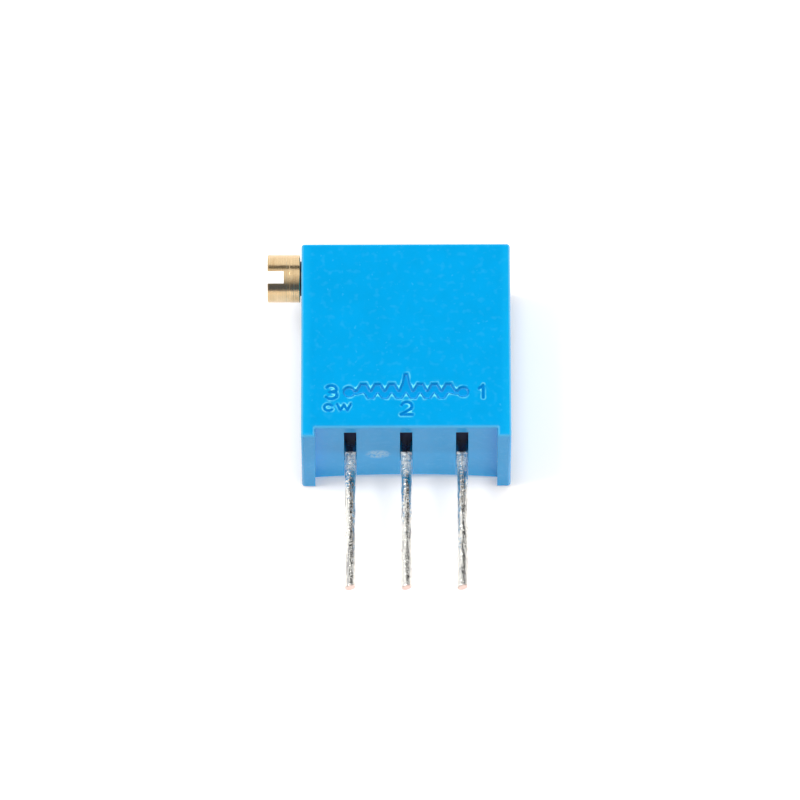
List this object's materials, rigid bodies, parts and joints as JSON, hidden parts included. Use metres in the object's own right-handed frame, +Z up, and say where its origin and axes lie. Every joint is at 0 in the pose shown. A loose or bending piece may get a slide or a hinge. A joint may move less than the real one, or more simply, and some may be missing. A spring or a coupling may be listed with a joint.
{
  "type": "trimmer potentiometer",
  "caption": "Square multi-turn trimmer potentiometer with a slotted screw on its side, feet and a row of straight leads; a worm turns the wiper's wheel inside.",
  "frame": {"origin": "on the axis of the middle lead, level with the undersides of the two feet", "axes": "+Z up out of the board along the leads, +X along the row of leads away from the adjustment screw, -Y out of the marked face"},
  "size_m": [0.0111, 0.0048, 0.0165],
  "materials": {
    "blue_moulding": "satin moulded",
    "alumina": "fired, matt",
    "cermet": "fired film",
    "fired_silver": "fired film",
    "tinned_wire": "hot tinned, streaked",
    "solder": "bright",
    "sealant": "dark cured resin",
    "turned_brass": "turned",
    "seal_rubber": "smooth",
    "spring_steel": "stamped",
    "gear_nylon": "moulded",
    "contact_alloy": "stamped, bright"
  },
  "bodies": {
    "case": {"housing": "blue_moulding", "back_cover": "blue_moulding", "ceramic_substrate": "alumina", "resistive_track": "cermet", "collector_conductor": "fired_silver", "end_conductor_left": "fired_silver", "end_conductor_right": "fired_silver", "terminal_pin_1": "tinned_wire", "terminal_pin_2": "tinned_wire", "terminal_pin_3": "tinned_wire", "solder_joint_1": "solder", "solder_joint_2": "solder", "solder_joint_3": "solder", "lead_seal_1": "sealant", "lead_seal_2": "sealant", "lead_seal_3": "sealant", "screw_retainer": "spring_steel"},
    "screw": {"adjustment_screw": "turned_brass", "shaft_seal": "seal_rubber"},
    "rotor": {"rotor_gear": "gear_nylon", "wiper_contact": "contact_alloy"}
  },
  "joints": [
    {"name": "screw_turn", "type": "hinge", "parent": "case", "child": "screw", "pos_m": [-0.0055, -0.00114, 0.00889], "axis": [1, 0, 0], "range_deg": [-4500, 4500]},
    {"name": "rotor_turn", "type": "hinge", "parent": "case", "child": "rotor", "pos_m": [0, -0.00114, 0.00507], "axis": [0, -1, 0], "range_deg": [-136.4, 136.4]}
  ],
  "couplings": [
    {"joint": "rotor_turn", "follows": "screw_turn", "ratio": 0.030303}
  ]
}
